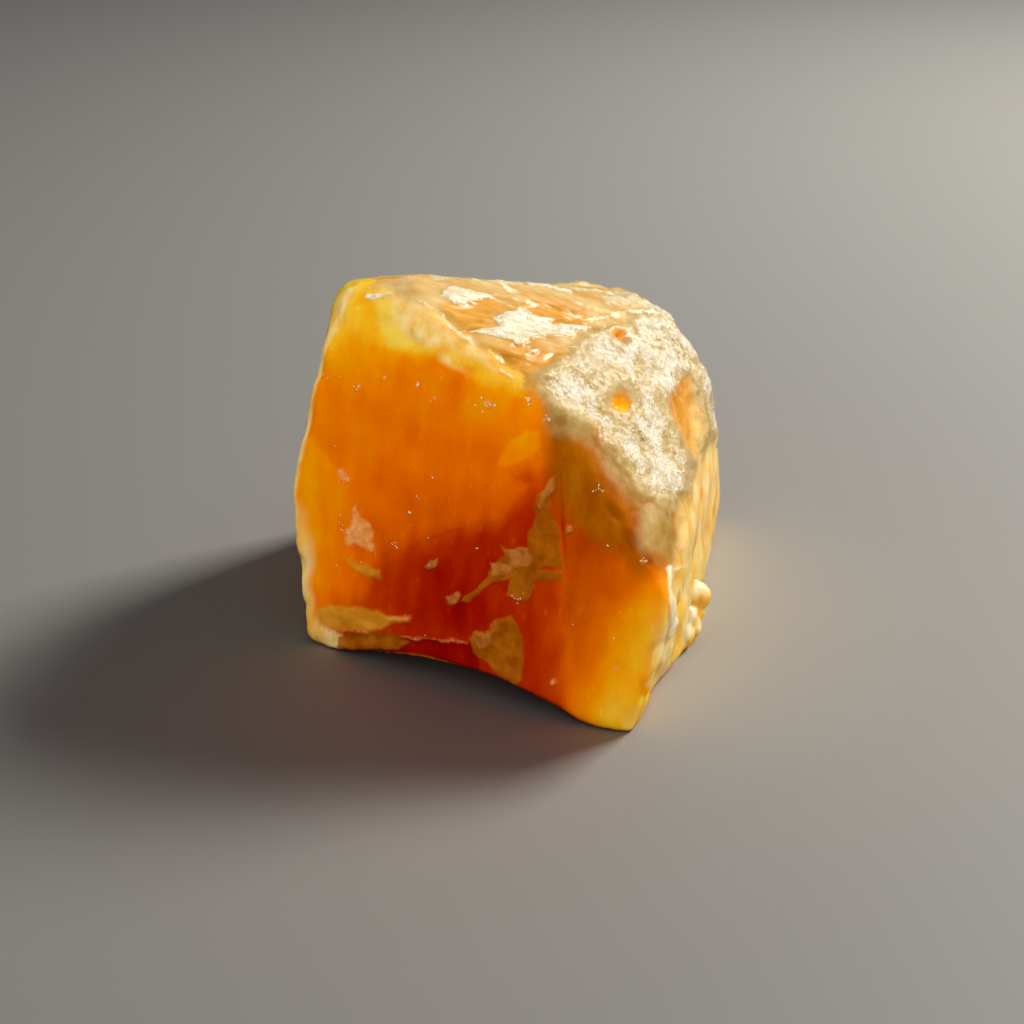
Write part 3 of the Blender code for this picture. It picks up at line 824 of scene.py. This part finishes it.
# Balls that the cluster is blended from: centre and radius, mm.
KNOBS = (
    ((29.8, -4.8, 6.2), 2.7), ((29.0, -5.6, 3.6), 2.6), ((27.6, -6.0, 7.2), 2.9), ((28.4, -8.2, 2.2), 2.4),
    ((27.4, -8.8, 4.7), 2.4), ((26.9, -11.0, 2.2), 2.3), ((25.4, -12.8, 1.6), 2.0), ((25.2, -11.4, 3.6), 2.2),
)
KNOB_HEART = np.array([26.8, -7.6, 4.0])
KNOB_CELLS = (112, 64)  # round and from top to bottom
FUSED = 0.30  # width of the grooves between the lumps, mm
MISS = 0.4  # softness of the root where a ray misses a ball
KNOB_FLOOR = 0.02  # the lumps end just above the table, mm
CLOUD_MM = 3.0  # size of their clouds


def lumpy_cluster(turn, fall):
    """Points by longitude and angle from the top of balls fused into one.

    A ray leaves a ball of radius r centred at c at b + sqrt(r^2 - c^2 + b^2), where b is how far
    along the ray the ball's centre lies. The root is softened where the ray misses, and the reach
    is the soft maximum over the balls.
    """
    ray = np.stack([np.sin(fall) * np.cos(turn), np.sin(fall) * np.sin(turn), np.cos(fall)], axis=-1)
    ray = ray.reshape(-1, 3)
    offsets = np.array([centre for centre, _ in KNOBS]) - KNOB_HEART
    radii = np.array([radius for _, radius in KNOBS])
    along = ray @ offsets.T
    inside = radii ** 2 - (offsets ** 2).sum(axis=1) + along ** 2
    leave = along + np.sqrt(MISS * np.log1p(np.exp(np.clip(inside / MISS, -30.0, 30.0))))
    reach_out = FUSED * np.log(np.exp(leave / FUSED).sum(axis=1))
    points = KNOB_HEART + ray * reach_out[:, None]
    return points + ray * (0.22 * noise(points, 2.6, 81) + 0.06 * noise(points, 1.0, 82))[:, None]


around, down = KNOB_CELLS
turn, fall = np.meshgrid(np.arange(around) * 2.0 * math.pi / around,
                         np.linspace(0.0, math.pi, down + 1)[1:-1], indexing="ij")
ring = np.arange(around * (down - 1)).reshape(around, down - 1)
beside = np.roll(ring, -1, axis=0)
knob_points = lumpy_cluster(turn, fall)
knob_points = np.concatenate([knob_points, knob_points[ring[:, 0]].mean(axis=0, keepdims=True),
                              knob_points[ring[:, -1]].mean(axis=0, keepdims=True)])
knob_points[:, 2] = np.maximum(knob_points[:, 2], KNOB_FLOOR)
top, bottom = ring.size, ring.size + 1
knob_faces = np.stack([ring[:, :-1], ring[:, 1:], beside[:, 1:], beside[:, :-1]], axis=-1)
knob_faces = knob_faces.reshape(-1, 4).tolist()
knob_faces += [(a, b, top) for a, b in zip(ring[:, 0], beside[:, 0])]
knob_faces += [(b, a, bottom) for a, b in zip(ring[:, -1], beside[:, -1])]
knob_mesh = bpy.data.meshes.new("calcite_knobs")
knob_mesh.from_pydata((knob_points * MM).tolist(), [], knob_faces)
knob_mesh.shade_smooth()
knobs = into_scene("calcite_knobs", knob_mesh)

# The same stone, grown and not broken: smooth and cloudy, so the light in it is pale yellow; the
# faces that look up are painted paler cream as light from above.
grown, tree, shader = new_material("orange_calcite_grown_lumps")
place = add_node(tree, "TexCoord", out="Object")
# Painted light: the more a face looks up, the paler cream it is.
faces_up = add_node(tree, "SeparateXYZ", {"Vector": add_node(tree, "NewGeometry", out="Normal")}, out="Z")
cloud = add_node(tree, "TexNoise", {"Vector": place, "Scale": 1.0 / (CLOUD_MM * MM), "Detail": 4.0})
cloudy = add_node(tree, "Math", {0: cloud, 1: 2.4, 2: -1.2}, operation="MULTIPLY_ADD")
cloudy = add_node(tree, "Math", {0: faces_up, 1: cloudy}, operation="ADD")
painted_top_light = add_node(tree, "MapRange", {"Value": cloudy, "From Min": -0.3, "From Max": 0.8},
               interpolation_type="SMOOTHSTEP")
tint = add_node(tree, "Mix", {0: painted_top_light, 6: linear("#f0ba3c"), 7: linear("#f8e4b8")}, data_type="RGBA", out=2)
plug(shader, {"Base Color": tint, "Roughness": 0.34, "IOR": CALCITE_IOR, "Subsurface Weight": 0.8,
              "Subsurface Radius": (1.0, 0.8, 0.5), "Subsurface Scale": 1.5 * MM})
knobs.data.materials.append(grown)

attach(knobs, "root")

# ------------------------------------------------------------
# Sugar: the tiny dogtooth crystals that grew on the crust and on the flakes of the top, and a few
# that are stuck in the waxy front. Each is a sharp spindle, and they are too many for solids.
# ------------------------------------------------------------

SUGAR_COUNT = 10000
SUGAR_LENGTH = (0.2, 0.7)  # mm, tip to tip
SUGAR_SLIMNESS = (0.22, 0.4)  # width over length
DUST_COUNT = 16  # stray crystals on the front
DUST_LENGTH = (0.3, 0.6)
CLUSTER_SPREAD = (0.8, 1.5)  # shortest and longest crystal of a cluster, over its length
# Clusters on the front: across, rise, spread, how many crystals, and their length in mm.
CLUSTERS = (
    (-14.6, 16.1, 0.15, 2, 1.0), (-24.1, 16.0, 0.5, 4, 0.4), (-29.9, 17.9, 0.2, 2, 0.4),
    (-20.0, 17.3, 0.1, 1, 0.4), (-11.0, 16.9, 0.1, 1, 0.4), (-12.0, 13.9, 0.1, 1, 0.4),
    (-3.5, 12.8, 0.5, 6, 0.5), (2.5, 13.3, 0.2, 3, 0.8), (-5.7, 12.8, 0.1, 1, 0.4), (5.4, 10.4, 0.4, 5, 0.5),
    (-28.6, 7.0, 0.1, 1, 0.5), (-15.0, -1.2, 0.3, 2, 0.4), (-18.8, -8.7, 0.4, 5, 0.4),
    (-16.0, -4.2, 0.4, 2, 0.5), (-27.0, -6.4, 0.8, 6, 0.45), (-12.6, 2.0, 0.2, 1, 0.4),
    (-27.6, 1.6, 0.5, 4, 0.4), (12.8, -0.3, 0.4, 6, 0.45), (19.8, -10.8, 0.3, 4, 0.4),
    (0.9, -17.2, 0.3, 4, 0.4), (-19.2, 26.0, 0.7, 7, 0.35), (-17.4, 23.2, 0.6, 5, 0.3),
)


def sprinkle(density, count, rng):
    """Places on the stone, with their normals and frost: quads drawn by area times density."""
    corners = stone_points[quads]
    crossed = np.cross(corners[:, 2] - corners[:, 0], corners[:, 3] - corners[:, 1])
    area = 0.5 * np.linalg.norm(crossed, axis=1)
    chance = area * density[quads].mean(axis=1)
    chosen = rng.choice(len(quads), count, p=chance / chance.sum())
    s, t = rng.random((2, count, 1))
    a, b, c, d = (corners[chosen, i] for i in range(4))
    at = (a * (1 - s) + b * s) * (1 - t) + (d * (1 - s) + c * s) * t
    return at, normals[quads[chosen]].mean(axis=1), frost[quads[chosen]].mean(axis=1)


def spindles(at, normal, length, lift, rng):
    """Corners of sharp spindles: two tips along an axis, and four round the waist at right angles.

    The axis is a random direction in the surface, tipped out of it by the lift; length is in mm.
    """
    axis = unit(np.cross(normal, rng.normal(size=at.shape)))
    axis = unit(axis + normal * lift * rng.normal(size=(len(at), 1)))
    side = unit(np.cross(axis, normal))
    over = np.cross(axis, side)
    half = 0.5 * length[:, None]
    waist = half * rng.uniform(*SUGAR_SLIMNESS, (len(at), 1))
    middle = at + 0.15 * waist * normal
    corners = [middle - axis * half, middle + axis * half]
    corners += [middle + waist * (side * math.cos(turn) + 0.45 * over * math.sin(turn))
                for turn in np.arange(4) * math.pi / 2.0]
    return np.stack(corners, axis=1)


SPINDLE_FACES = np.array([(0, 2 + i, 2 + (i + 1) % 4) for i in range(4)]
                         + [(1, 2 + (i + 1) % 4, 2 + i) for i in range(4)])
rng = np.random.default_rng(17)
sugar_density = smooth(0.4, 1.4, crust) * (1.0 - bare) * (0.06 + smooth(-0.7, 0.7, frost)) \
    + 0.25 * smooth(-0.1, 0.2, flake)
off_table = smooth(0.5, 2.0, z)
sugar_density *= off_table * (0.25 + 0.75 * seen)
dust_density = on_faces("front_left", "front_right", "brow") * smooth(0.5, -0.5, crust) * off_table
front_points = np.flatnonzero(on_faces("front_left", "front_right", "brow", "shoulder") > 0.5)
cluster_at = np.concatenate([rng.normal((at_across, at_rise), spread, (number, 2))
                             for at_across, at_rise, spread, number, _ in CLUSTERS])
cluster_length = np.concatenate([rng.uniform(*CLUSTER_SPREAD, number) * length
                                 for _, _, _, number, length in CLUSTERS])
gap = np.hypot(cluster_at[:, :1] - across[front_points], cluster_at[:, 1:] - rise[front_points])
nearest = front_points[gap.argmin(axis=1)]
sugar_at, sugar_normal, sugar_frost = sprinkle(sugar_density, SUGAR_COUNT, rng)
dust_at, dust_normal, _ = sprinkle(dust_density, DUST_COUNT, rng)
crystals = np.concatenate([
    spindles(sugar_at, sugar_normal, rng.uniform(*SUGAR_LENGTH, SUGAR_COUNT), 0.25, rng),
    spindles(dust_at, dust_normal, rng.uniform(*DUST_LENGTH, DUST_COUNT), 0.2, rng),
    spindles(stone_points[nearest], normals[nearest], cluster_length, 0.3, rng),
])
tone = np.full(len(crystals), 0.6)
tone[:SUGAR_COUNT] = 0.5 * rng.random(SUGAR_COUNT) + 0.5 * smooth(-0.6, 0.8, sugar_frost)
sugar_faces = SPINDLE_FACES[None] + 6 * np.arange(len(crystals))[:, None, None]
sugar_mesh = bpy.data.meshes.new("calcite_sugar")
sugar_mesh.from_pydata((crystals.reshape(-1, 3) * MM).tolist(), [], sugar_faces.reshape(-1, 3).tolist())
keep_on_mesh(sugar_mesh, "tone", np.repeat(tone, 6))
sugar = into_scene("calcite_sugar", sugar_mesh)

# Calcite crystals, grown clear and then clouded: bright little faces, from pale gold to white.
crystal, tree, shader = new_material("calcite_sugar_grown")
tone_read = add_node(tree, "Attribute", attribute_name="tone", out="Fac")
tint = add_node(tree, "Mix", {0: tone_read, 6: linear("#e4c084"), 7: linear("#fffaf0")},
                data_type="RGBA", out=2)
plug(shader, {"Base Color": tint, "Roughness": 0.2, "IOR": CALCITE_IOR})
sugar.data.materials.append(crystal)

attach(sugar, "root")

# ------------------------------------------------------------
# Floor, light and camera: a plain pale table, soft studio lamps, and the viewer's own height.
# ------------------------------------------------------------

TABLE_HALF = 3.0
table = bpy.data.meshes.new("table")
table.from_pydata([(x * TABLE_HALF, y * TABLE_HALF, 0.0) for x, y in ((-1, -1), (1, -1), (1, 1), (-1, 1))],
                  [], [(0, 1, 2, 3)])
floor = into_scene("table", table)
paper, _, shader = new_material("pale_paper")
plug(shader, {"Base Color": linear("#bfbdb8"), "Roughness": 0.6})
floor.data.materials.append(paper)
floor.visible_glossy = False

world = bpy.data.worlds.new("studio")
bpy.context.scene.world = world
world.use_nodes = True
plug(world.node_tree.nodes["Background"], {"Color": (0.8, 0.82, 0.85, 1.0), "Strength": 0.13})
world.cycles_visibility.glossy = False


def lamp(name, place, aim, size, power, colour):
    """A square area lamp that looks from its place at a point."""
    data = bpy.data.lights.new(name, "AREA")
    data.size = size
    data.energy = power
    data.color = colour
    made = into_scene(name, data)
    made.location = place
    made.rotation_euler = (Vector(aim) - Vector(place)).to_track_quat("-Z", "Y").to_euler()
    return made


MIDDLE = (0.0, 0.0, 0.03)
lamp("key", (0.50, 0.34, 0.50), MIDDLE, 0.22, 4.35, (1.0, 0.97, 0.92))
# The fill is a card in front and the side card is low at the right. They light the stone and not
# the table, so the shade under it stays deep, and they are not mirrored in the waxy faces.
lit_by_fill = bpy.data.collections.new("lit_by_fill")
for piece in (stone, knobs, sugar):
    lit_by_fill.objects.link(piece)
for card in (lamp("fill", (-0.26, -0.56, 0.70), MIDDLE, 0.5, 7.6, (1.0, 0.98, 0.95)),
             lamp("side", (0.70, 0.10, 0.06), MIDDLE, 0.3, 4.4, (1.0, 0.98, 0.95))):
    card.visible_glossy = False
    card.light_linking.receiver_collection = lit_by_fill

CAMERA_TARGET = Vector((-0.0018, -0.0069, 0.024))
CAMERA_RISE = math.radians(30.0)
CAMERA_DISTANCE = 0.232
CAMERA_FIELD = math.radians(40.0)
SENSOR_WIDTH = 36.0  # mm
camera_data = bpy.data.cameras.new("viewer")
camera_data.sensor_width = SENSOR_WIDTH
camera_data.angle = CAMERA_FIELD
camera_data.clip_start = 0.01
camera = into_scene("viewer", camera_data)
towards_camera = Vector((0.0, -math.cos(CAMERA_RISE), math.sin(CAMERA_RISE)))
camera.location = CAMERA_TARGET + towards_camera * CAMERA_DISTANCE
camera.rotation_euler = (math.pi / 2.0 - CAMERA_RISE, 0.0, 0.0)
bpy.context.scene.camera = camera
bpy.context.scene.view_settings.view_transform = "Standard"
